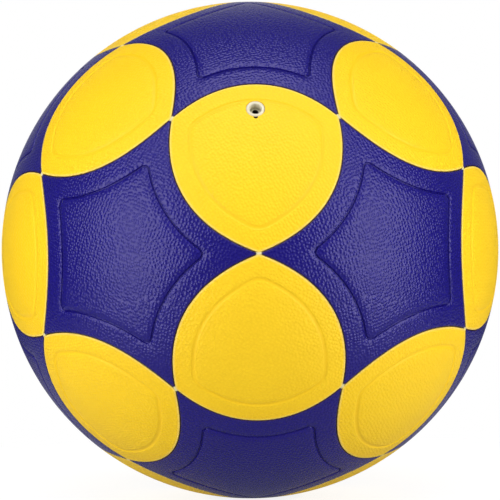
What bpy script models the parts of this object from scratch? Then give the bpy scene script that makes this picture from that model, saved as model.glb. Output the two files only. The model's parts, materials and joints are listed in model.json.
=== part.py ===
"""A bonded korfball ball: 32 leather panels on a rubber carcass, over a wound bladder with a needle valve.

Metres, +Z up, origin at the ball's centre. Four panels meet on each of the X, Y and Z axes. The valve lies
in the plane x = 0, on the -Y side of the ball and above its middle.
"""

import itertools
import math

import bmesh
import bpy
from mathutils import Vector

# The whole ball
BALL_RADIUS = 0.110
FIT_GAP = 0.0003

# The wall's layers, from outside in
PANEL_THICKNESS = 0.0024
PANEL_BED = 0.0007
CARCASS_THICKNESS = 0.0014
WINDING_THICKNESS = 0.0007
BLADDER_THICKNESS = 0.0010
SHELL_EDGE_CUTS = 5

# Panel outlines: a seam runs between two meeting points and bows out of the three-sided panel
SEAM_HALF_ANGLE = math.radians(18)
SEAM_BULGE = 0.01335
SEAM_STEPS = 6
CORNER_CUT = 0.03
YELLOW_BANDS = 3
BLUE_BANDS = 4

# The valve, measured along its own axis: heights are above (+) or below (-) the ball's outer sphere
VALVE_ELEVATION = math.radians(32)
TURN_STEPS = 24
HOLE_RADIUS = 0.0045
HOLE_CUT_LENGTH = 0.040
RIM_HEIGHT = -0.00025
RIM_BEVEL = 0.0003
CUP_RADIUS = 0.0024
CUP_DEPTH = 0.0032
FLANGE_RADIUS = 0.013
FLANGE_THICKNESS = 0.0014
FLANGE_STEPS = 3
STEM_RADIUS = 0.0050
STEM_END = -0.024
STEM_BEVEL = 0.0012
AIR_HOLE_RADIUS = 0.0010
INSERT_LENGTH = 0.0145
NEEDLE_MOUTH_RADIUS = 0.00125
NEEDLE_RADIUS = 0.0009
NEEDLE_FUNNEL = 0.0015
NEEDLE_DEPTH = 0.009
INSERT_BEVEL = 0.0003

# Radii that follow from the layers
CARCASS_RADIUS = BALL_RADIUS - PANEL_THICKNESS - PANEL_BED
WINDING_RADIUS = CARCASS_RADIUS - CARCASS_THICKNESS - FIT_GAP
BLADDER_RADIUS = WINDING_RADIUS - WINDING_THICKNESS - FIT_GAP
FLANGE_SPHERE = BLADDER_RADIUS - BLADDER_THICKNESS - 3 * FIT_GAP

# The pattern: the panels' golden-ratio directions, and the angle from a three-sided panel's centre to a seam
GOLDEN = (1 + math.sqrt(5)) / 2
TRIANGLE_INRADIUS = math.asin(math.tan(SEAM_HALF_ANGLE) / math.tan(math.radians(60)))

# Finishes: linear colour and roughness
FINISHES = {
    "yellow_leather": ((0.97, 0.68, 0.025), 0.5),
    "blue_leather": ((0.024, 0.016, 0.20), 0.42),
    "carcass_rubber": ((0.62, 0.60, 0.55), 0.8),
    "nylon_winding": ((0.75, 0.73, 0.66), 0.7),
    "bladder_butyl": ((0.02, 0.02, 0.022), 0.6),
    "valve_rubber": ((0.78, 0.76, 0.70), 0.55),
    "insert_rubber": ((0.42, 0.42, 0.36), 0.6),
}


def clear_scene():
    for obj in list(bpy.data.objects):
        bpy.data.objects.remove(obj, do_unlink=True)


def finish(name):
    """The material of this name, made on its first use."""
    if name in bpy.data.materials:
        return bpy.data.materials[name]
    material = bpy.data.materials.new(name)
    material.use_nodes = True
    shader = material.node_tree.nodes["Principled BSDF"]
    colour, roughness = FINISHES[name]
    shader.inputs["Base Color"].default_value = (*colour, 1)
    shader.inputs["Roughness"].default_value = roughness
    shader.inputs["Metallic"].default_value = 0
    return material


def add_object(name, bm, finish_name, parent=None):
    """Turns a bmesh into a named, smooth-shaded object of the scene."""
    mesh = bpy.data.meshes.new(name)
    bm.to_mesh(mesh)
    bm.free()
    mesh.shade_smooth()
    mesh.set_sharp_from_angle(angle=math.radians(35))
    mesh.materials.append(finish(finish_name))
    obj = bpy.data.objects.new(name, mesh)
    obj.parent = parent
    bpy.context.collection.objects.link(obj)
    return obj


def cut(obj, cutter):
    boolean = obj.modifiers.new("valve hole", "BOOLEAN")
    boolean.operation = "DIFFERENCE"
    boolean.solver = "EXACT"
    boolean.object = cutter


def directions(x, y, z):
    """Unit vectors of all sign changes and cyclic orders of one triple."""
    found = set()
    for signs in itertools.product((1, -1), repeat=3):
        signed = tuple(sign * value for sign, value in zip(signs, (x, y, z)))
        found |= {signed[turn:] + signed[:turn] for turn in range(3)}
    return [Vector(point).normalized() for point in found]


def place_in_order(centre):
    """A sorting key: from the top down and then round the ball. Adding 0.0 turns a negative zero positive."""
    x, y, z = (round(value, 6) + 0.0 for value in centre)
    return -z, math.atan2(y, x)


def neighbours(centre, others):
    """The panels that share a seam with this one, counter-clockwise seen from outside."""
    nearest = max(centre.dot(other) for other in others)
    around = [other for other in others if centre.dot(other) > nearest - 1e-6]
    start = (around[0] - centre * centre.dot(around[0])).normalized()
    left = centre.cross(start)
    return sorted(around, key=lambda other: math.atan2(other.dot(left), other.dot(start)))


def seam_point(triangle, pentagon, along_share, shift):
    """A direction on the seam of two panels, at -1 to 1 along it, moved by shift towards the pentagon."""
    outward = (pentagon - triangle * triangle.dot(pentagon)).normalized()
    middle = triangle * math.cos(TRIANGLE_INRADIUS) + outward * math.sin(TRIANGLE_INRADIUS)
    across = outward * math.cos(TRIANGLE_INRADIUS) - triangle * math.sin(TRIANGLE_INRADIUS)
    along = triangle.cross(pentagon).normalized()
    turn = along_share * SEAM_HALF_ANGLE
    lean = (SEAM_BULGE * (1 - along_share**2) + shift) / BALL_RADIUS
    return (middle * math.cos(turn) + along * math.sin(turn)) * math.cos(lean) + across * math.sin(lean)


def side_shares():
    """Places along one side, from just after one corner to just before the next."""
    reach = 1 - CORNER_CUT
    return [reach * (2 * step / SEAM_STEPS - 1) for step in range(SEAM_STEPS + 1)]


def triangle_outline(centre, pentagons):
    return [
        seam_point(centre, pentagon, share, -FIT_GAP / 2)
        for pentagon in neighbours(centre, pentagons)
        for share in side_shares()
    ]


def pentagon_outline(centre, triangles):
    return [
        seam_point(triangle, centre, -share, FIT_GAP / 2)
        for triangle in neighbours(centre, triangles)
        for share in side_shares()
    ]


def panel_mesh(centre, outline, bands):
    """A curved panel: rings from its centre to its outline, thickened straight towards the ball's centre."""
    bm = bmesh.new()
    hub = bm.verts.new(centre * BALL_RADIUS)
    rings = [
        [bm.verts.new(centre.slerp(edge, band / bands) * BALL_RADIUS) for edge in outline]
        for band in range(1, bands + 1)
    ]
    for here in range(len(outline)):
        after = (here + 1) % len(outline)
        bm.faces.new((hub, rings[0][here], rings[0][after]))
        for inner, outer in itertools.pairwise(rings):
            bm.faces.new((inner[here], outer[here], outer[after], inner[after]))
    back = bmesh.ops.extrude_face_region(bm, geom=bm.faces[:])
    for item in back["geom"]:
        if isinstance(item, bmesh.types.BMVert):
            item.co *= 1 - PANEL_THICKNESS / BALL_RADIUS
    bmesh.ops.recalc_face_normals(bm, faces=bm.faces[:])
    return bm


def add_yellow_panel(name, centre, pentagons):
    outline = triangle_outline(centre, pentagons)
    return add_object(name, panel_mesh(centre, outline, YELLOW_BANDS), "yellow_leather")


def add_blue_panel(name, centre, triangles):
    outline = pentagon_outline(centre, triangles)
    return add_object(name, panel_mesh(centre, outline, BLUE_BANDS), "blue_leather")


def add_panels(triangles, pentagons, valve_axis, valve_cutter):
    """The panel at the valve is punched for it. The others are numbered from the top down."""
    valve_centre = max(triangles, key=valve_axis.dot)
    cut(add_yellow_panel("yellow_panel_valve", valve_centre, pentagons), valve_cutter)
    plain_centres = [centre for centre in triangles if centre != valve_centre]
    for number, centre in enumerate(plain_centres, 1):
        add_yellow_panel(f"yellow_panel_{number:02d}", centre, pentagons)
    for number, centre in enumerate(pentagons, 1):
        add_blue_panel(f"blue_panel_{number:02d}", centre, triangles)


def add_shell(name, radius, thickness, finish_name, valve_cutter):
    """A hollow sphere of even triangles, open at the valve. All the shells share one net, so they nest."""
    bm = bmesh.new()
    bmesh.ops.create_icosphere(bm, subdivisions=1, radius=radius)
    bmesh.ops.subdivide_edges(bm, edges=bm.edges[:], cuts=SHELL_EDGE_CUTS, use_grid_fill=True)
    for vert in bm.verts:
        vert.co = vert.co.normalized() * radius
    shell = add_object(name, bm, finish_name)
    wall = shell.modifiers.new("wall", "SOLIDIFY")
    wall.thickness = thickness
    wall.offset = -1
    cut(shell, valve_cutter)


def add_valve_axis(valve_axis):
    """An empty on the ball's surface, with its +Z pointing out along the valve."""
    axis = bpy.data.objects.new("valve_axis", None)
    axis.location = valve_axis * BALL_RADIUS
    axis.rotation_mode = "QUATERNION"
    axis.rotation_quaternion = valve_axis.to_track_quat("Z", "Y")
    bpy.context.collection.objects.link(axis)
    return axis


def add_valve_cutter(axis):
    bm = bmesh.new()
    bmesh.ops.create_cone(
        bm,
        cap_ends=True,
        segments=TURN_STEPS,
        radius1=HOLE_RADIUS,
        radius2=HOLE_RADIUS,
        depth=HOLE_CUT_LENGTH,
    )
    cutter = add_object("valve_hole_cutter", bm, "valve_rubber", axis)
    cutter.hide_render = True
    cutter.display_type = "WIRE"
    return cutter


def add_turned(name, profile, finish_name, parent):
    """A piece turned about its own Z. Its profile's (radius, height) pairs run down the outside first."""
    bm = bmesh.new()
    verts = [bm.verts.new((radius, 0, height)) for radius, height in profile]
    for start, end in zip(verts, verts[1:] + verts[:1]):
        if start.co.x > 0 or end.co.x > 0:
            bm.edges.new((start, end))
    piece = add_object(name, bm, finish_name, parent)
    screw = piece.modifiers.new("turn", "SCREW")
    screw.steps = TURN_STEPS
    screw.render_steps = TURN_STEPS
    screw.use_merge_vertices = True
    screw.merge_threshold = 0.00001
    return piece


def sphere_height(sphere_radius, radius):
    """Height of a sphere about the ball's centre, at this distance from the valve's axis."""
    return math.sqrt(sphere_radius**2 - radius**2) - BALL_RADIUS


def add_valve_housing(axis):
    """The rim seen in the panel, the neck through the wall, the flange under the bladder and the stem."""
    neck_radius = HOLE_RADIUS - FIT_GAP
    seat = RIM_HEIGHT - CUP_DEPTH - INSERT_LENGTH - FIT_GAP
    step = (FLANGE_RADIUS - neck_radius) / FLANGE_STEPS
    flange_radii = [neck_radius + step * number for number in range(FLANGE_STEPS + 1)]
    flange_back = FLANGE_SPHERE - FLANGE_THICKNESS
    profile = [
        (CUP_RADIUS, RIM_HEIGHT),
        (neck_radius - RIM_BEVEL, RIM_HEIGHT),
        (neck_radius, RIM_HEIGHT - RIM_BEVEL),
    ]
    profile += [(radius, sphere_height(FLANGE_SPHERE, radius)) for radius in flange_radii]
    profile += [(radius, sphere_height(flange_back, radius)) for radius in reversed(flange_radii[1:])]
    profile += [
        (STEM_RADIUS, sphere_height(flange_back, STEM_RADIUS)),
        (STEM_RADIUS, STEM_END + STEM_BEVEL),
        (STEM_RADIUS - STEM_BEVEL, STEM_END),
        (AIR_HOLE_RADIUS, STEM_END),
        (AIR_HOLE_RADIUS, seat),
        (CUP_RADIUS, seat),
    ]
    add_turned("valve_housing", profile, "valve_rubber", axis)


def add_valve_insert(axis):
    """The plug in the cup: its origin is on the valve's axis, at its outer face."""
    radius = CUP_RADIUS - FIT_GAP
    profile = [
        (NEEDLE_MOUTH_RADIUS, 0),
        (radius - INSERT_BEVEL, 0),
        (radius, -INSERT_BEVEL),
        (radius, INSERT_BEVEL - INSERT_LENGTH),
        (radius - INSERT_BEVEL, -INSERT_LENGTH),
        (0, -INSERT_LENGTH),
        (0, -NEEDLE_DEPTH),
        (NEEDLE_RADIUS, NEEDLE_RADIUS - NEEDLE_DEPTH),
        (NEEDLE_RADIUS, -NEEDLE_FUNNEL),
    ]
    insert = add_turned("valve_insert", profile, "insert_rubber", axis)
    insert.location = (0, 0, RIM_HEIGHT - CUP_DEPTH)


def main():
    clear_scene()
    triangles = sorted(directions(1, 1, 1) + directions(0, GOLDEN, 1 / GOLDEN), key=place_in_order)
    pentagons = sorted(directions(1, GOLDEN, 0), key=place_in_order)
    valve_axis = Vector((0, -math.cos(VALVE_ELEVATION), math.sin(VALVE_ELEVATION)))
    axis = add_valve_axis(valve_axis)
    valve_cutter = add_valve_cutter(axis)
    add_shell("bladder", BLADDER_RADIUS, BLADDER_THICKNESS, "bladder_butyl", valve_cutter)
    add_shell("winding", WINDING_RADIUS, WINDING_THICKNESS, "nylon_winding", valve_cutter)
    add_shell("carcass", CARCASS_RADIUS, CARCASS_THICKNESS, "carcass_rubber", valve_cutter)
    add_valve_housing(axis)
    add_valve_insert(axis)
    add_panels(triangles, pentagons, valve_axis, valve_cutter)


main()
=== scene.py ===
"""The looks of the korfball ball: grooved leather panels and a rubber valve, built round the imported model.

Metres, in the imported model's frame: +Z up, origin at the ball's centre, the valve on the -Y side. A panel is
shaped with its centre on +Z and the middle of its first side towards +X, and is then turned to its place.
"""

import dataclasses
import itertools
import json
import math
import typing

import bmesh
import bpy
from mathutils import Matrix, Quaternion, Vector

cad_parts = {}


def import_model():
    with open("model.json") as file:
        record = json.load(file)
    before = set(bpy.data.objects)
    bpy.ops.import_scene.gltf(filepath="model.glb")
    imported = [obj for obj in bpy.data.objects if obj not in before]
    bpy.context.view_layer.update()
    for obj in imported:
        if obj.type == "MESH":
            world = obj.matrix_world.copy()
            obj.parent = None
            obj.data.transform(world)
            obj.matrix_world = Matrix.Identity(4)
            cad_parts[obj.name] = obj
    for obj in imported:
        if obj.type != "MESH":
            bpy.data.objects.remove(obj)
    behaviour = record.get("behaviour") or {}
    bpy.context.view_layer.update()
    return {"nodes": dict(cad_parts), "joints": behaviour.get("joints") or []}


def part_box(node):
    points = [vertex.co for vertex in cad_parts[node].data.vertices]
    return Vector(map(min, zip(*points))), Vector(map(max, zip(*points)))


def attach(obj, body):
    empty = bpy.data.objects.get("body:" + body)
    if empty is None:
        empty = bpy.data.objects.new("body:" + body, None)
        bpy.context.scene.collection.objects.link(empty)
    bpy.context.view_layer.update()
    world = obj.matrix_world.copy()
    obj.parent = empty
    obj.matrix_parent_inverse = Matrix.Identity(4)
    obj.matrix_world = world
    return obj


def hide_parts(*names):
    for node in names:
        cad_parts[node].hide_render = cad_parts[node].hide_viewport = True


# The ball and its pattern of panels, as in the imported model
BALL_RADIUS = 0.110
GOLDEN = (1 + math.sqrt(5)) / 2
SEAM_HALF_ANGLE = math.radians(18)
SEAM_BULGE = 0.01335
PANEL_THICKNESS = 0.0024

# A panel's cross-section, from its cut edge to its middle
SEAM_GAP = 0.00016
RIM_WIDTH = 0.00055
RIM_DROP = 0.00045
# The paler band of wear and painted highlight beside the rim ends this far in
WEAR_AND_HIGHLIGHT_WIDTH = 0.0013

# How finely a panel is divided, and where its shading breaks
RIM_STEPS = 4
LAND_STEPS = 4
WALL_STEPS = 4
FIELD_STEPS = 9
BACK_STEPS = 4
CORNER_HALVINGS = 30
SHARP_ANGLE = math.radians(50)

# Pale glue that fills the point where four panels meet
GLUE_RADIUS = 0.0014
GLUE_DEPTH = 0.0006
GLUE_SINK = 0.00004
GLUE_STEPS = 16

# The valve, measured along its own axis: heights are above (+) or below (-) the ball's outer sphere
TURN_STEPS = 64
CURVE_STEPS = 5
PUNCH_RADIUS = 0.00390
PUNCH_LENGTH = 0.010
NOTCH_RADIUS = 0.0009
NOTCH_DROP = 0.0039
RING_RADIUS = 0.00385
RING_TOP = -0.00005
RING_ROUND = 0.0007
LIP_ROUND = 0.0005
CUP_RADIUS = 0.0024
CUP_SEAT = -0.01825
FLANGE_RADIUS = 0.013
FLANGE_TOP = -0.0078
FLANGE_EDGE = -0.0086
FLANGE_THICKNESS = 0.0014
FLANGE_ROUND = 0.0005
STEM_RADIUS = 0.0050
STEM_END = -0.024
STEM_ROUND = 0.0012
AIR_HOLE_RADIUS = 0.0010
INSERT_TOP = -0.0028
INSERT_LENGTH = 0.01515
INSERT_RADIUS = 0.0023
INSERT_ROUND = 0.0003
NEEDLE_MOUTH_RADIUS = 0.0011
NEEDLE_RADIUS = 0.0009
NEEDLE_FUNNEL = 0.0015
NEEDLE_DEPTH = 0.009

# Leather grain: the crease span is measured from a pebble's middle, in pebble sizes
PEBBLE_SIZE = 0.0014
PEBBLE_HEIGHT = 0.000155
PEBBLE_RANDOMNESS = 0.65
CREASE_SPAN = (0, 0.65)
FINE_GRAIN_SIZE = 0.0004
FINE_GRAIN_RELIEF = 0.08
PATCH_SIZE = 0.020
GRAIN_SHIFT = 0.3

# Leather colour: how much of its second colour each feature takes, and the marks where features begin and end
PATCH_TONE = 0.2
# Painted shade: the share of the darker colour in the pebbles' creases
PAINTED_CREASE_SHADE = 0.35
# Painted shade: the share of the darker colour in the groove
PAINTED_GROOVE_SHADE = 0.5
# Wear and painted highlight: the share of the paler colour along the rim
WEAR_AND_HIGHLIGHT_TONE = 0.5
RIM_TOP_MARK = 0.5
CUT_MARKS = (0.6, 0.9)
GROOVE_SHOULDER_MARK = 0.2

# Polish: leather is rougher in its creases and fine grain, by the spread, and rubber varies by it both ways
FINE_GRAIN_POLISH = 0.5
POLISH_SPAN = (0.1, 1.2)
ROUGHNESS_SPREAD = 0.08

# Noise: the span that holds most of its values, and how many finer layers it has
NOISE_SPAN = (0.3, 0.7)
CLOUD_DETAIL = 3
GRAIN_DETAIL = 2

# Rubber: clouds are this many grains wide
RUBBER_SPECULAR = 0.4
CLOUD_GRAINS = 8

# Wound thread: three layers of strands, each turned by three angles in radians
STRAND_TURNS = ((0.6, 0.2, 0.9), (2.1, 1.1, 0.3), (0.9, 2.3, 1.7))
STRAND_SCALE = 260
STRAND_WAVER = 0.6
STRAND_DETAIL = 1
STRAND_HEIGHT = 0.0001
PILE_SPAN = (0.6, 2.4)
THREAD_SHADE = 0.55
THREAD_SPECULAR = 0.3
THREAD_LOW_ROUGHNESS = 0.8
THREAD_HIGH_ROUGHNESS = 0.6

# The mix node's sockets for colours, by number, because their names repeat for each type of data
MIX_SHARE = 0
MIX_FIRST = 6
MIX_SECOND = 7
MIX_RESULT = 2

# Camera, from the photograph: angles in degrees, distance from the ball's centre, lens and sensor in mm
CAMERA_AZIMUTH = -1.85
CAMERA_ELEVATION = 0.72
CAMERA_ROLL = -0.81
CAMERA_DISTANCE = 1.0044
CAMERA_LENS = 162.3
CAMERA_SENSOR = 36

# Lamps: name, azimuth and elevation in degrees, distance, width, height and watts
LAMPS = (
    ("lamp_left", -51.5, 11.3, 0.55, 0.33, 0.42, 1.62),
    ("lamp_right", 50.5, 11.3, 0.55, 0.33, 0.42, 1.62),
    ("lamp_top", 0, 70, 1.3, 1.50, 0.80, 12.7),
    ("lamp_low_left", -46, -17.5, 0.30, 0.14, 0.024, 0.087),
    ("lamp_low_right", 46, -17.5, 0.30, 0.14, 0.024, 0.087),
    ("lamp_front", 0, 20, 1.5, 1.90, 1.20, 1.8),
)

# Lamps that leave no highlight, for the sides, the back and the underside
SOFT_LAMPS = (
    ("lamp_side_left", -115, 8, 1.5, 1.0, 0.6, 1.0),
    ("lamp_side_right", 115, 8, 1.5, 1.0, 0.6, 1.0),
    ("lamp_rear", 180, 14, 1.5, 1.4, 1.0, 17.0),
    ("lamp_below", 0, -90, 0.108, 1.2, 1.2, 1.70),
)

# World: grey fill light, and what glossy surfaces mirror, with the spans of direction where that fades in
FILL_LIGHT = 0.06
BACKDROP_GLOSS = 0.52
BACKDROP_TAPER = 0.75
BACKDROP_SPAN = (0.55, 0.85)
SURROUND_GLOSS = 0.13
SURROUND_SPAN = (0.2, 0.6)
HORIZON_SPAN = (-0.15, 0.2)

# Floor: small, and plain white past the span of distances from its middle
FLOOR_SIZE = 0.56
FLOOR_COLOUR = (0.20, 0.20, 0.20)
FLOOR_ROUGHNESS = 0.9
FLOOR_LIFT = 0.87
FLOOR_GLOSS = 0.22
FLOOR_SPAN = (0.15, 0.28)

# Linear colours that belong to no one kind of leather or rubber
WHITE = (1, 1, 1)
SEAM_BROWN = (0.050, 0.020, 0.012)
# Black painted shade for the valve's deep needle hole and the gap round its ring
PAINTED_SHADE_BLACK = (0.010, 0.006, 0.003)
THREAD_CREAM = (0.75, 0.73, 0.66)


@dataclasses.dataclass
class LeatherKind:
    """One colour of leather, with a darker colour for dye patches and painted shade, a paler one for wear and
    painted highlight, and its gloss.
    """

    slot: str
    colour: tuple
    dye_and_shade_colour: tuple
    wear_and_highlight_colour: tuple
    roughness: float
    gloss: dict


@dataclasses.dataclass
class RubberKind:
    """One moulded rubber, or set glue. Shade is the share of its colour that its dark clouds keep."""

    name: str
    colour: tuple
    shade: float
    roughness: float
    grain_size: float = 0.0004
    grain_height: float = 0.00002


@dataclasses.dataclass
class PanelKind:
    """One of the two panel shapes. Bulge is how far its sides bow out, and its groove follows its outline.

    The band outside the groove is the land, and what the groove encloses is the field.
    """

    leather: LeatherKind
    sides: int
    bulge: float
    tip_round: float
    groove_inset: float
    groove_round: float
    groove_depth: float
    groove_floor: float
    land_wall: float
    field_wall: float
    side_steps: int
    corner_steps: int

    @property
    def inradius(self):
        """Angle from the panel's centre to the middle of a side, before that side bows."""
        return math.asin(math.tan(SEAM_HALF_ANGLE) / math.tan(math.pi / self.sides))


class Ring(typing.NamedTuple):
    """One line round a panel: its inset from the outline, corner radius and height above the ball.

    Rim and groove are marks from 0 to 1 that its points carry for the material.
    """

    inset: float
    turn: float
    height: float
    rim: float = 0
    groove: float = 0


class Panel(typing.NamedTuple):
    """A leather piece, and the turn that took it from +Z to its place on the ball."""

    piece: bpy.types.Object
    place: Matrix


YELLOW_LEATHER = LeatherKind(
    slot="yellow_leather",
    colour=(0.985, 0.64, 0.011),
    dye_and_shade_colour=(0.90, 0.55, 0.008),
    wear_and_highlight_colour=(0.92, 0.71, 0.22),
    roughness=0.42,
    gloss={"Specular IOR Level": 0.26},
)
BLUE_LEATHER = LeatherKind(
    slot="blue_leather",
    colour=(0.008, 0.0045, 0.174),
    dye_and_shade_colour=(0.006, 0.003, 0.142),
    wear_and_highlight_colour=(0.016, 0.011, 0.15),
    roughness=0.21,
    gloss={"Specular IOR Level": 0.55, "Specular Tint": (0.7, 0.64, 1, 1)},
)

YELLOW_PANEL = PanelKind(
    leather=YELLOW_LEATHER,
    sides=3,
    bulge=SEAM_BULGE,
    tip_round=0.0010,
    groove_inset=0.0087,
    groove_round=0.0080,
    groove_depth=0.00028,
    groove_floor=0.0006,
    land_wall=0.0006,
    field_wall=0.0009,
    side_steps=32,
    corner_steps=10,
)
BLUE_PANEL = PanelKind(
    leather=BLUE_LEATHER,
    sides=5,
    bulge=-SEAM_BULGE,
    tip_round=0.0004,
    groove_inset=0.0095,
    groove_round=0.0026,
    groove_depth=0.00064,
    groove_floor=0.0002,
    land_wall=0.0004,
    field_wall=0.0005,
    side_steps=30,
    corner_steps=8,
)

SEAM_GLUE = RubberKind(
    name="seam_glue",
    colour=(0.76, 0.68, 0.36),
    shade=0.9,
    roughness=0.5,
)
VALVE_RUBBER = RubberKind(
    name="valve_rubber",
    colour=(0.76, 0.70, 0.52),
    shade=0.9,
    roughness=0.45,
)
INSERT_RUBBER = RubberKind(
    name="insert_rubber",
    colour=(0.58, 0.57, 0.42),
    shade=0.85,
    roughness=0.5,
)
CARCASS_RUBBER = RubberKind(
    name="carcass_rubber",
    colour=(0.62, 0.60, 0.55),
    shade=0.85,
    roughness=0.8,
    grain_size=0.0012,
    grain_height=0.00005,
)
BLADDER_BUTYL = RubberKind(
    name="bladder_butyl",
    colour=(0.02, 0.02, 0.022),
    shade=0.7,
    roughness=0.6,
    grain_size=0.0008,
)


# Pattern


def directions(x, y, z):
    """Unit vectors of all sign changes and cyclic orders of one triple."""
    found = set()
    for signs in itertools.product((1, -1), repeat=3):
        signed = tuple(sign * value for sign, value in zip(signs, (x, y, z)))
        found |= {signed[turn:] + signed[:turn] for turn in range(3)}
    return [Vector(point).normalized() for point in sorted(found)]


def nearest(direction, others):
    return max(others, key=direction.dot)


# Pieces


def smooth(mesh):
    mesh.shade_smooth()
    mesh.set_sharp_from_angle(angle=SHARP_ANGLE)


def finished_mesh(bm, name):
    mesh = bpy.data.meshes.new(name)
    bm.to_mesh(mesh)
    bm.free()
    smooth(mesh)
    return mesh


def add_piece(name, mesh, material, body, slot, *nodes):
    """Puts a finished mesh in the scene, riding on a body in place of its CAD nodes."""
    mesh.materials.clear()
    mesh.materials.append(material)
    piece = bpy.data.objects.new(name, mesh)
    bpy.context.scene.collection.objects.link(piece)
    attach(piece, body)
    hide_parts(*nodes)
    return piece


# Panels


def seam_point(kind, share, inset):
    """A unit vector inset metres inside a panel's first side, at -1 to 1 along that side."""
    middle = Vector((math.sin(kind.inradius), 0, math.cos(kind.inradius)))
    outward = Vector((math.cos(kind.inradius), 0, -math.sin(kind.inradius)))
    left = Vector((0, 1, 0))
    turn = share * SEAM_HALF_ANGLE
    lean = kind.bulge * (1 - share**2) / BALL_RADIUS
    lean_rate = -2 * kind.bulge * share / BALL_RADIUS
    level = middle * math.cos(turn) + left * math.sin(turn)
    level_rate = (left * math.cos(turn) - middle * math.sin(turn)) * SEAM_HALF_ANGLE
    point = level * math.cos(lean) + outward * math.sin(lean)
    forward = level_rate * math.cos(lean) + (outward * math.cos(lean) - level * math.sin(lean)) * lean_rate
    inward = point.cross(forward).normalized()
    reach = inset / BALL_RADIUS
    return point * math.cos(reach) + inward * math.sin(reach)


def corner_share(kind, inset):
    """How far along its side, from 0 to 1, an inset line meets that of the next side."""
    low, high = 0, 1
    for _ in range(CORNER_HALVINGS):
        middle = (low + high) / 2
        point = seam_point(kind, middle, inset)
        if math.atan2(point.y, point.x) < math.pi / kind.sides:
            low = middle
        else:
            high = middle
    return low


def corner_arc(pivot, start, steps):
    """Points between start and its mirror image in the plane of +Z and pivot, on an arc about pivot."""
    across = Vector((0, 0, 1)).cross(pivot).normalized()
    outward = across.cross(pivot)
    reach = start - pivot * pivot.dot(start)
    half = math.atan2(-reach.dot(across), reach.dot(outward))
    points = []
    for step in range(1, steps):
        angle = half * (2 * step / steps - 1)
        side = outward * math.cos(angle) + across * math.sin(angle)
        points.append(pivot * pivot.dot(start) + side * reach.length)
    return points


def ring_points(kind, ring):
    """Unit vectors once round a panel along one ring, counter-clockwise seen from outside."""
    pivot_inset = ring.inset + ring.turn
    reach = corner_share(kind, pivot_inset)
    shares = [reach * (2 * step / kind.side_steps - 1) for step in range(kind.side_steps + 1)]
    side = [seam_point(kind, share, ring.inset) for share in shares]
    side += corner_arc(seam_point(kind, reach, pivot_inset), side[-1], kind.corner_steps)
    turns = [Matrix.Rotation(2 * math.pi * number / kind.sides, 3, "Z") for number in range(kind.sides)]
    return [turn @ point for turn in turns for point in side]


def edge_rings(kind):
    """The cut edge, from its foot up, its rounded rim and the band of wear and painted highlight beside it."""
    inset = SEAM_GAP / 2
    rings = [Ring(inset, kind.tip_round, -PANEL_THICKNESS, rim=1)]
    for step in range(RIM_STEPS + 1):
        share = step / RIM_STEPS
        angle = math.pi / 2 * share
        inward = RIM_WIDTH * (1 - math.cos(angle))
        drop = RIM_DROP * (1 - math.sin(angle))
        mark = 1 - (1 - RIM_TOP_MARK) * share
        rings.append(Ring(inset + inward, kind.tip_round, -drop, rim=mark))
    rings.append(Ring(WEAR_AND_HIGHLIGHT_WIDTH, kind.tip_round, 0))
    return rings


def land_rings(kind, outer):
    """The land, from the outer ring to the groove. Its corners grow rounder towards the groove."""
    reach = kind.land_wall + kind.groove_floor / 2
    width = kind.groove_inset - reach - outer.inset
    rounding = kind.groove_round + reach - outer.turn
    rings = []
    for step in range(1, LAND_STEPS):
        share = step / LAND_STEPS
        rings.append(Ring(outer.inset + width * share, outer.turn + rounding * share, 0))
    return rings


def groove_rings(kind):
    """The moulded contour groove: a wall down from the land, a flat floor and a wall up to the field."""
    offsets = []
    for step in range(WALL_STEPS, -1, -1):
        offsets.append((-kind.groove_floor / 2 - kind.land_wall * step / WALL_STEPS, step))
    for step in range(WALL_STEPS + 1):
        offsets.append((kind.groove_floor / 2 + kind.field_wall * step / WALL_STEPS, step))
    rings = []
    for offset, step in offsets:
        depth = math.cos(step / WALL_STEPS * math.pi / 2) ** 2
        inset = kind.groove_inset + offset
        rings.append(Ring(inset, kind.groove_round - offset, -kind.groove_depth * depth, groove=depth))
    return rings


def shrunk_loop(bm, loop, share, radius):
    """A copy of a loop of vertices, drawn in towards +Z."""
    centre = Vector((0, 0, 1))
    return [bm.verts.new(centre.slerp(vert.co.normalized(), share) * radius) for vert in loop]


def bridge(bm, loops, hub):
    """Faces between the loops, and from the last loop to a hub."""
    count = len(loops[0])
    for here in range(count):
        after = (here + 1) % count
        for outer, inner in itertools.pairwise(loops):
            bm.faces.new((outer[here], outer[after], inner[after], inner[here]))
        bm.faces.new((loops[-1][here], loops[-1][after], hub))


def panel_mesh(kind):
    """A closed panel about +Z, with its rim and groove marked for its material."""
    bm = bmesh.new()
    rim_layer = bm.verts.layers.float.new("rim")
    groove_layer = bm.verts.layers.float.new("groove")
    edge = edge_rings(kind)
    loops = []
    for ring in edge + land_rings(kind, edge[-1]) + groove_rings(kind):
        loop = [bm.verts.new(point * (BALL_RADIUS + ring.height)) for point in ring_points(kind, ring)]
        for vert in loop:
            vert[rim_layer] = ring.rim
            vert[groove_layer] = ring.groove
        loops.append(loop)
    foot, shoulder = loops[0], loops[-1]
    for step in range(FIELD_STEPS - 1, 0, -1):
        loops.append(shrunk_loop(bm, shoulder, step / FIELD_STEPS, BALL_RADIUS))
    bridge(bm, loops, bm.verts.new((0, 0, BALL_RADIUS)))
    back_radius = BALL_RADIUS - PANEL_THICKNESS
    back = [foot]
    for step in range(BACK_STEPS - 1, 0, -1):
        back.append(shrunk_loop(bm, foot, step / BACK_STEPS, back_radius))
    bridge(bm, [loop[::-1] for loop in back], bm.verts.new((0, 0, back_radius)))
    return finished_mesh(bm, kind.leather.slot)


def panel_place(centre, neighbour):
    """Turns a panel from +Z to its centre on the ball, with its first side towards a neighbour."""
    forward = (neighbour - centre * centre.dot(neighbour)).normalized()
    return Matrix((forward, centre.cross(forward), centre)).transposed().to_4x4()


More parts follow.
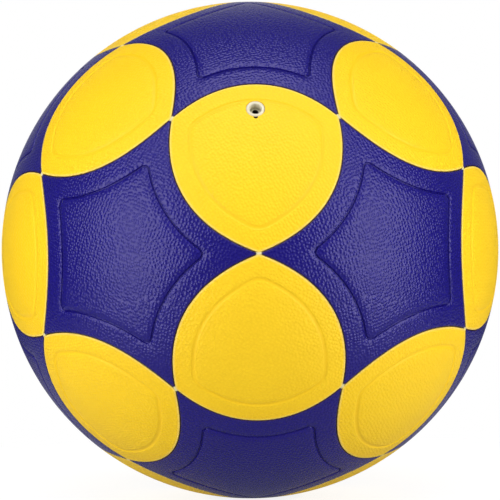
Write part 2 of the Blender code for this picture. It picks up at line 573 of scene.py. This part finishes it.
def add_panels(nodes, kind, centres, neighbours):
    """One leather piece for each of these CAD panels, which lie at the pattern's centres."""
    material = leather_material(kind.leather)
    slot = kind.leather.slot
    shape = panel_mesh(kind)
    panels = {}
    for node in nodes:
        low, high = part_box(node)
        centre = nearest(low + high, centres)
        place = panel_place(centre, nearest(centre, neighbours))
        mesh = shape.copy()
        mesh.transform(place)
        piece = add_piece(node + "_leather", mesh, material, "ball", slot, node)
        panels[node] = Panel(piece, place)
    bpy.data.meshes.remove(shape)
    return panels


def add_cover(nodes):
    """All the leather panels, by the names of their CAD nodes."""
    triangles = directions(1, 1, 1) + directions(0, GOLDEN, 1 / GOLDEN)
    pentagons = directions(1, GOLDEN, 0)
    yellow_nodes = [node for node in nodes if node.startswith("yellow")]
    blue_nodes = [node for node in nodes if node.startswith("blue")]
    panels = add_panels(yellow_nodes, YELLOW_PANEL, triangles, pentagons)
    panels |= add_panels(blue_nodes, BLUE_PANEL, pentagons, triangles)
    return panels


def mark_grain(mesh, place, shift):
    """Keeps where each point of a panel lay when it was cut from flat leather, for its grain."""
    grain = mesh.attributes.new("grain", "FLOAT_VECTOR", "POINT")
    unplace = place.inverted()
    for vert, mark in zip(mesh.vertices, grain.data):
        direction = (unplace @ vert.co).normalized()
        level = Vector((direction.x, direction.y, 0)).normalized()
        mark.vector = level * math.acos(min(1, direction.z)) * BALL_RADIUS + Vector((shift, 0, 0))


def mark_all_grain(panels):
    """Gives each panel a stretch of leather of its own."""
    for number, panel in enumerate(panels.values()):
        mark_grain(panel.piece.data, panel.place, number * GRAIN_SHIFT)


def add_glue():
    """Small domes of glue that fill the 30 points where four panels meet."""
    bm = bmesh.new()
    for direction in directions(0, 0, 1) + directions(1, GOLDEN**2, GOLDEN):
        place = direction.to_track_quat("Z", "Y").to_matrix().to_4x4()
        place.translation = direction * (BALL_RADIUS - GLUE_SINK - GLUE_DEPTH)
        dome = bmesh.ops.create_uvsphere(bm, u_segments=GLUE_STEPS, v_segments=GLUE_STEPS // 2, radius=1)
        squeeze = Matrix.Diagonal((GLUE_RADIUS, GLUE_RADIUS, GLUE_DEPTH, 1))
        bmesh.ops.transform(bm, matrix=place @ squeeze, verts=dome["verts"])
    mesh = finished_mesh(bm, "seam_glue")
    add_piece("seam_glue", mesh, rubber_material(SEAM_GLUE), "ball", "carcass_rubber")


# Valve


def valve_place(axis):
    """The valve's own frame: +Z out along its axis, from the ball's outer sphere, and +Y up the ball."""
    place = axis.to_track_quat("Z", "Y").to_matrix().to_4x4()
    place.translation = axis * BALL_RADIUS
    return place


def rounded_profile(corners):
    """A closed profile's (radius, height) points, with a curve at each corner that has a rounding."""
    points = []
    for number, (radius, height, rounding) in enumerate(corners):
        corner = Vector((radius, height))
        if not rounding:
            points.append(corner)
            continue
        before = Vector(corners[number - 1][:2])
        after = Vector(corners[(number + 1) % len(corners)][:2])
        start = corner + (before - corner).normalized() * rounding
        end = corner + (after - corner).normalized() * rounding
        for step in range(CURVE_STEPS + 1):
            share = step / CURVE_STEPS
            points.append(start.lerp(corner, share).lerp(corner.lerp(end, share), share))
    return points


def turned_loop(bm, radius, height):
    """A loop of vertices round +Z, which is one vertex over and over where the radius is 0."""
    if radius == 0:
        return [bm.verts.new((0, 0, height))] * TURN_STEPS
    angles = [2 * math.pi * step / TURN_STEPS for step in range(TURN_STEPS)]
    return [bm.verts.new((radius * math.cos(angle), radius * math.sin(angle), height)) for angle in angles]


def turned_mesh(corners, place, name):
    """A piece turned from a closed profile, whose points run down the outside first."""
    bm = bmesh.new()
    loops = [turned_loop(bm, radius, height) for radius, height in rounded_profile(corners)]
    for upper, lower in zip(loops, loops[1:] + loops[:1]):
        for here in range(TURN_STEPS):
            after = (here + 1) % TURN_STEPS
            face = list(dict.fromkeys((upper[here], lower[here], lower[after], upper[after])))
            if len(face) > 2:
                bm.faces.new(face)
    mesh = finished_mesh(bm, name)
    mesh.transform(place)
    return mesh


def mark_painted_shade(mesh, place, is_painted_shade):
    """Marks the points of a turned piece that get black painted shade, by radius and height."""
    painted_shade = mesh.attributes.new("painted_shade", "FLOAT", "POINT")
    unplace = place.inverted()
    for vert, mark in zip(mesh.vertices, painted_shade.data):
        point = unplace @ vert.co
        mark.value = is_painted_shade(point.xy.length, point.z)


def add_valve_housing(place):
    """The pale ring seen in the panel, its cup, and the flange and stem inside the bladder."""
    corners = (
        (CUP_RADIUS, RING_TOP, LIP_ROUND),
        (RING_RADIUS, RING_TOP, RING_ROUND),
        (RING_RADIUS, FLANGE_TOP, 0),
        (FLANGE_RADIUS, FLANGE_EDGE, FLANGE_ROUND),
        (FLANGE_RADIUS, FLANGE_EDGE - FLANGE_THICKNESS, FLANGE_ROUND),
        (STEM_RADIUS, FLANGE_TOP - FLANGE_THICKNESS, FLANGE_ROUND),
        (STEM_RADIUS, STEM_END, STEM_ROUND),
        (AIR_HOLE_RADIUS, STEM_END, 0),
        (AIR_HOLE_RADIUS, CUP_SEAT, 0),
        (CUP_RADIUS, CUP_SEAT, 0),
    )
    neck_radius = (RING_RADIUS + CUP_RADIUS) / 2
    neck_top = RING_TOP - RING_ROUND / 2

    # Painted shade: the neck in the gap between the ring and the panel's hole is painted black
    def is_painted_shade(radius, height):
        return radius > neck_radius and FLANGE_TOP / 2 < height < neck_top

    mesh = turned_mesh(corners, place, "valve_ring")
    mark_painted_shade(mesh, place, is_painted_shade)
    add_piece("valve_ring", mesh, rubber_material(VALVE_RUBBER), "ball", "valve_rubber", "valve_housing")


def add_valve_insert(place):
    """The plug in the cup, with the needle's hole."""
    bottom = INSERT_TOP - INSERT_LENGTH
    corners = (
        (NEEDLE_MOUTH_RADIUS, INSERT_TOP, INSERT_ROUND),
        (INSERT_RADIUS, INSERT_TOP, INSERT_ROUND),
        (INSERT_RADIUS, bottom, INSERT_ROUND),
        (0, bottom, 0),
        (0, INSERT_TOP - NEEDLE_DEPTH, 0),
        (NEEDLE_RADIUS, INSERT_TOP - NEEDLE_DEPTH + NEEDLE_RADIUS, 0),
        (NEEDLE_RADIUS, INSERT_TOP - NEEDLE_FUNNEL, INSERT_ROUND),
    )
    bore_radius = NEEDLE_MOUTH_RADIUS + INSERT_ROUND / 2

    # Painted shade: the needle's bore is painted black
    def is_painted_shade(radius, height):
        return radius < bore_radius and height > bottom / 2

    mesh = turned_mesh(corners, place, "valve_plug")
    mark_painted_shade(mesh, place, is_painted_shade)
    add_piece("valve_plug", mesh, rubber_material(INSERT_RUBBER), "insert", "insert_rubber", "valve_insert")


def add_punch(place, radius):
    """A round bar along +Z of its place."""
    bm = bmesh.new()
    bmesh.ops.create_cone(
        bm,
        cap_ends=True,
        segments=TURN_STEPS,
        radius1=radius,
        radius2=radius,
        depth=PUNCH_LENGTH,
        matrix=place,
    )
    punch = bpy.data.objects.new("punch", finished_mesh(bm, "punch"))
    bpy.context.scene.collection.objects.link(punch)
    return punch


def punch_panel(panel, place, radius):
    """Cuts a round hole in a panel, with its cut wall marked like the panel's other edges."""
    punch = add_punch(place, radius)
    hole = panel.modifiers.new("hole", "BOOLEAN")
    hole.operation = "DIFFERENCE"
    hole.solver = "EXACT"
    hole.object = punch
    depsgraph = bpy.context.evaluated_depsgraph_get()
    panel.data = bpy.data.meshes.new_from_object(panel.evaluated_get(depsgraph))
    panel.modifiers.clear()
    smooth(panel.data)
    bpy.data.objects.remove(punch, do_unlink=True)
    unplace = place.inverted()
    for vert, mark in zip(panel.data.vertices, panel.data.attributes["rim"].data):
        point = unplace @ vert.co
        if point.xy.length < radius + SEAM_GAP and point.z < -PANEL_THICKNESS / 2:
            mark.value = 1


def add_valve(axis, panel):
    """The valve's two pieces, and its hole in a panel, with a small notch below the ring."""
    place = valve_place(axis)
    punch_panel(panel, place, PUNCH_RADIUS)
    punch_panel(panel, place @ Matrix.Translation((0, -NOTCH_DROP, 0)), NOTCH_RADIUS)
    add_valve_housing(place)
    add_valve_insert(place)


# Shader nodes


def shader_node(tree, kind, inputs=None, **settings):
    """Adds a node. Inputs, by socket name or number, are values or other nodes' sockets."""
    node = tree.nodes.new(kind)
    for name, value in settings.items():
        setattr(node, name, value)
    for name, value in (inputs or {}).items():
        if isinstance(value, bpy.types.NodeSocket):
            tree.links.new(value, node.inputs[name])
        else:
            node.inputs[name].default_value = value
    return node


def new_material(name, inputs):
    """A material with these values on its surface shader: returns it, its node tree and that shader."""
    material = bpy.data.materials.new(name)
    material.use_nodes = True
    tree = material.node_tree
    shader = tree.nodes["Principled BSDF"]
    for socket, value in inputs.items():
        shader.inputs[socket].default_value = value
    return material, tree, shader


def place_socket(tree):
    """The point on the surface in metres, in its object's own frame."""
    return shader_node(tree, "ShaderNodeTexCoord").outputs["Object"]


def noise(tree, size, detail):
    """Cloudy noise from 0 to 1, with features of this size in metres."""
    inputs = {"Vector": place_socket(tree), "Scale": 1 / size, "Detail": detail}
    return shader_node(tree, "ShaderNodeTexNoise", inputs).outputs["Fac"]


def remap(tree, value, span, new_low, new_high):
    """Stretches a span of values to a new one, and holds its ends."""
    low, high = span
    inputs = {"Value": value, "From Min": low, "From Max": high, "To Min": new_low, "To Max": new_high}
    return shader_node(tree, "ShaderNodeMapRange", inputs).outputs["Result"]


def soft_step(tree, value, span):
    """0 below the span, 1 above it, and a smooth rise between."""
    low, high = span
    inputs = {"Value": value, "From Min": low, "From Max": high}
    return shader_node(tree, "ShaderNodeMapRange", inputs, interpolation_type="SMOOTHSTEP").outputs["Result"]


def blend_colours(tree, share, first, second):
    """A mix of two colours, given as values or sockets."""
    inputs = {
        MIX_SHARE: share,
        MIX_FIRST: first if isinstance(first, bpy.types.NodeSocket) else (*first, 1),
        MIX_SECOND: second if isinstance(second, bpy.types.NodeSocket) else (*second, 1),
    }
    return shader_node(tree, "ShaderNodeMix", inputs, data_type="RGBA").outputs[MIX_RESULT]


def math_node(tree, operation, *values):
    inputs = dict(enumerate(values))
    return shader_node(tree, "ShaderNodeMath", inputs, operation=operation).outputs[0]


def weighted_sum(tree, first, second, weight):
    """first + second * weight."""
    return math_node(tree, "MULTIPLY_ADD", second, weight, first)


def attribute(tree, name):
    return shader_node(tree, "ShaderNodeAttribute", attribute_name=name).outputs["Fac"]


def bump(tree, shader, height, distance):
    inputs = {"Height": height, "Distance": distance, "Strength": 1}
    node = shader_node(tree, "ShaderNodeBump", inputs)
    tree.links.new(node.outputs["Normal"], shader.inputs["Normal"])


def darker(colour, share):
    return tuple(value * share for value in colour)


# Materials


def pebble_creases(tree):
    """0 in the middle of each small round grain, and 1 in the creases between grains."""
    flat = shader_node(tree, "ShaderNodeAttribute", attribute_name="grain").outputs["Vector"]
    inputs = {"Vector": flat, "Scale": 1 / PEBBLE_SIZE, "Randomness": PEBBLE_RANDOMNESS}
    cells = shader_node(tree, "ShaderNodeTexVoronoi", inputs, voronoi_dimensions="2D").outputs["Distance"]
    return soft_step(tree, cells, CREASE_SPAN)


def leather_colour(tree, kind, creases, groove):
    """Uneven dye with painted shade in the creases and the groove, wear and painted highlight on the rim, and
    a brown cut.
    """
    patches = noise(tree, PATCH_SIZE, CLOUD_DETAIL)
    # Uneven dye, with painted shade darkening the pebbles' creases
    dye_and_shade_share = weighted_sum(tree, remap(tree, patches, NOISE_SPAN, 0, PATCH_TONE), creases, PAINTED_CREASE_SHADE)
    dyed_and_shaded = blend_colours(tree, dye_and_shade_share, kind.colour, kind.dye_and_shade_colour)
    # Painted shade darkening the groove
    depth = remap(tree, groove, (GROOVE_SHOULDER_MARK, 1), 0, PAINTED_GROOVE_SHADE)
    groove_shaded = blend_colours(tree, depth, dyed_and_shaded, kind.dye_and_shade_colour)
    rim = attribute(tree, "rim")
    # A paler band of wear and painted highlight along the rim
    wear_and_highlight_share = remap(tree, rim, (0, RIM_TOP_MARK), 0, WEAR_AND_HIGHLIGHT_TONE)
    worn_and_highlit = blend_colours(tree, wear_and_highlight_share, groove_shaded, kind.wear_and_highlight_colour)
    return blend_colours(tree, remap(tree, rim, CUT_MARKS, 0, 1), worn_and_highlit, SEAM_BROWN)


def leather_material(kind):
    """Pebbled synthetic leather, with no pebbles in its groove."""
    material, tree, shader = new_material(kind.slot, kind.gloss)
    creases = pebble_creases(tree)
    groove = attribute(tree, "groove")
    fine = noise(tree, FINE_GRAIN_SIZE, GRAIN_DETAIL)
    tree.links.new(leather_colour(tree, kind, creases, groove), shader.inputs["Base Color"])
    polish = weighted_sum(tree, creases, fine, FINE_GRAIN_POLISH)
    roughness = remap(tree, polish, POLISH_SPAN, kind.roughness, kind.roughness + ROUGHNESS_SPREAD)
    tree.links.new(roughness, shader.inputs["Roughness"])
    pebbles = weighted_sum(tree, 1, creases, -1)
    relief = weighted_sum(tree, pebbles, fine, FINE_GRAIN_RELIEF)
    outside_groove = remap(tree, groove, (0, GROOVE_SHOULDER_MARK), 1, 0)
    bump(tree, shader, math_node(tree, "MULTIPLY", relief, outside_groove), PEBBLE_HEIGHT)
    return material


def rubber_material(kind):
    """Moulded rubber: cloudy colour, a fine grain and uneven polish, and black painted shade where it is
    marked.
    """
    material, tree, shader = new_material(kind.name, {"Specular IOR Level": RUBBER_SPECULAR})
    clouds = remap(tree, noise(tree, CLOUD_GRAINS * kind.grain_size, CLOUD_DETAIL), NOISE_SPAN, 0, 1)
    mixed = blend_colours(tree, clouds, kind.colour, darker(kind.colour, kind.shade))
    # Painted shade: black where the piece is marked
    shaded_colour = blend_colours(tree, attribute(tree, "painted_shade"), mixed, PAINTED_SHADE_BLACK)
    tree.links.new(shaded_colour, shader.inputs["Base Color"])
    grain = noise(tree, kind.grain_size, GRAIN_DETAIL)
    smoothest = kind.roughness - ROUGHNESS_SPREAD
    roughest = kind.roughness + ROUGHNESS_SPREAD
    tree.links.new(remap(tree, grain, NOISE_SPAN, smoothest, roughest), shader.inputs["Roughness"])
    bump(tree, shader, grain, kind.grain_height)
    return material


def strand_layer(tree, turn):
    """Parallel strands, as waves from 0 to 1, that run at a turn to the ball's frame."""
    mapping = shader_node(tree, "ShaderNodeMapping", {"Vector": place_socket(tree), "Rotation": turn})
    inputs = {
        "Vector": mapping.outputs["Vector"],
        "Scale": STRAND_SCALE,
        "Distortion": STRAND_WAVER,
        "Detail": STRAND_DETAIL,
    }
    return shader_node(tree, "ShaderNodeTexWave", inputs).outputs["Fac"]


def thread_material(name, colour):
    """Wound thread set in latex: fine crossing strands."""
    material, tree, shader = new_material(name, {"Specular IOR Level": THREAD_SPECULAR})
    first, second, third = (strand_layer(tree, turn) for turn in STRAND_TURNS)
    pile = math_node(tree, "ADD", math_node(tree, "ADD", first, second), third)
    raised = remap(tree, pile, PILE_SPAN, 0, 1)
    tinted = blend_colours(tree, raised, darker(colour, THREAD_SHADE), colour)
    tree.links.new(tinted, shader.inputs["Base Color"])
    roughness = remap(tree, pile, PILE_SPAN, THREAD_LOW_ROUGHNESS, THREAD_HIGH_ROUGHNESS)
    tree.links.new(roughness, shader.inputs["Roughness"])
    bump(tree, shader, pile, STRAND_HEIGHT)
    return material


def finish_hidden_layers(nodes):
    """Materials for the layers under the panels, which keep their CAD shapes."""
    finishes = {
        "carcass": rubber_material(CARCASS_RUBBER),
        "winding": thread_material("nylon_winding", THREAD_CREAM),
        "bladder": rubber_material(BLADDER_BUTYL),
    }
    for node, material in finishes.items():
        nodes[node].data.materials.clear()
        nodes[node].data.materials.append(material)


# Studio


def direction_at(azimuth, elevation):
    """A unit vector from the ball: azimuth 0 is towards -Y and 90 towards +X, in degrees."""
    turn, rise = math.radians(azimuth), math.radians(elevation)
    return Vector((math.sin(turn) * math.cos(rise), -math.cos(turn) * math.cos(rise), math.sin(rise)))


def add_camera():
    camera = bpy.data.objects.new("camera", bpy.data.cameras.new("camera"))
    camera.data.sensor_width = CAMERA_SENSOR
    camera.data.lens = CAMERA_LENS
    back = direction_at(CAMERA_AZIMUTH, CAMERA_ELEVATION)
    camera.location = back * CAMERA_DISTANCE
    camera.rotation_mode = "QUATERNION"
    roll = Quaternion((0, 0, 1), math.radians(CAMERA_ROLL))
    camera.rotation_quaternion = (-back).to_track_quat("-Z", "Y") @ roll
    bpy.context.scene.collection.objects.link(camera)
    bpy.context.scene.camera = camera


def add_lamps(lamps, mirrored):
    """Soft rectangular lamps. Those that are not mirrored fill in light and leave no highlight."""
    for name, azimuth, elevation, distance, width, height, watts in lamps:
        lamp = bpy.data.objects.new(name, bpy.data.lights.new(name, "AREA"))
        lamp.data.shape = "RECTANGLE"
        lamp.data.size = width
        lamp.data.size_y = height
        lamp.data.energy = watts
        direction = direction_at(azimuth, elevation)
        lamp.location = direction * distance
        lamp.rotation_mode = "QUATERNION"
        lamp.rotation_quaternion = (-direction).to_track_quat("-Z", "Y")
        lamp.visible_camera = False
        lamp.visible_glossy = mirrored
        bpy.context.scene.collection.objects.link(lamp)


def seen_share(tree, mirrored):
    """1 for what the camera sees, the given share for what glossy and clear surfaces mirror, otherwise 0."""
    light_path = shader_node(tree, "ShaderNodeLightPath").outputs
    mirror = math_node(tree, "MAXIMUM", light_path["Is Glossy Ray"], light_path["Is Transmission Ray"])
    return math_node(tree, "MULTIPLY_ADD", mirror, mirrored, light_path["Is Camera Ray"])


def mirrored_glow(tree):
    """A pale backdrop behind the ball, and a fainter glow round it, both above the horizon."""
    place = shader_node(tree, "ShaderNodeTexCoord").outputs["Generated"]
    heading = shader_node(tree, "ShaderNodeSeparateXYZ", {0: place}).outputs
    aside = math_node(tree, "ABSOLUTE", heading["X"])
    behind = weighted_sum(tree, heading["Y"], aside, -BACKDROP_TAPER)
    backdrop = remap(tree, behind, BACKDROP_SPAN, 0, BACKDROP_GLOSS)
    surround = remap(tree, heading["Y"], SURROUND_SPAN, 0, SURROUND_GLOSS)
    glow = math_node(tree, "MAXIMUM", backdrop, surround)
    return math_node(tree, "MULTIPLY", glow, soft_step(tree, heading["Z"], HORIZON_SPAN))


def add_world():
    """Plain grey fill light, white where the camera sees it and with a glow where it is mirrored."""
    world = bpy.data.worlds.new("studio")
    bpy.context.scene.world = world
    world.use_nodes = True
    tree = world.node_tree
    seen = seen_share(tree, mirrored_glow(tree))
    grey = (FILL_LIGHT, FILL_LIGHT, FILL_LIGHT)
    tree.links.new(blend_colours(tree, seen, grey, WHITE), tree.nodes["Background"].inputs["Color"])


def floor_material():
    """Matt grey, lifted to a pale floor with the ball's shadow on it where it is seen, and white far out."""
    values = {
        "Base Color": (*FLOOR_COLOUR, 1),
        "Roughness": FLOOR_ROUGHNESS,
        "Specular IOR Level": 0,
        "Emission Color": (*WHITE, 1),
    }
    material, tree, shader = new_material("floor_white", values)
    lift = math_node(tree, "MULTIPLY", seen_share(tree, FLOOR_GLOSS), FLOOR_LIFT)
    tree.links.new(lift, shader.inputs["Emission Strength"])
    length = shader_node(tree, "ShaderNodeVectorMath", {0: place_socket(tree)}, operation="LENGTH")
    camera_ray = shader_node(tree, "ShaderNodeLightPath").outputs["Is Camera Ray"]
    far = math_node(tree, "MULTIPLY", camera_ray, soft_step(tree, length.outputs["Value"], FLOOR_SPAN))
    white = shader_node(tree, "ShaderNodeEmission", {"Color": (*WHITE, 1)})
    mixed = shader_node(tree, "ShaderNodeMixShader", {0: far, 1: shader.outputs[0], 2: white.outputs[0]})
    tree.links.new(mixed.outputs[0], tree.nodes["Material Output"].inputs["Surface"])
    return material


def add_floor():
    """A small square floor under the ball."""
    bm = bmesh.new()
    bmesh.ops.create_grid(bm, x_segments=1, y_segments=1, size=FLOOR_SIZE / 2)
    floor = bpy.data.objects.new("floor", finished_mesh(bm, "floor"))
    floor.location = (0, 0, -BALL_RADIUS)
    bpy.context.scene.collection.objects.link(floor)
    floor.data.materials.append(floor_material())


def add_studio():
    bpy.context.scene.view_settings.view_transform = "Standard"
    add_camera()
    add_lamps(LAMPS, mirrored=True)
    add_lamps(SOFT_LAMPS, mirrored=False)
    add_world()
    add_floor()


def main():
    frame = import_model()
    add_studio()
    panels = add_cover(frame["nodes"])
    add_glue()
    add_valve(Vector(frame["joints"][0]["axis"]), panels["yellow_panel_valve"].piece)
    mark_all_grain(panels)
    finish_hidden_layers(frame["nodes"])


main()
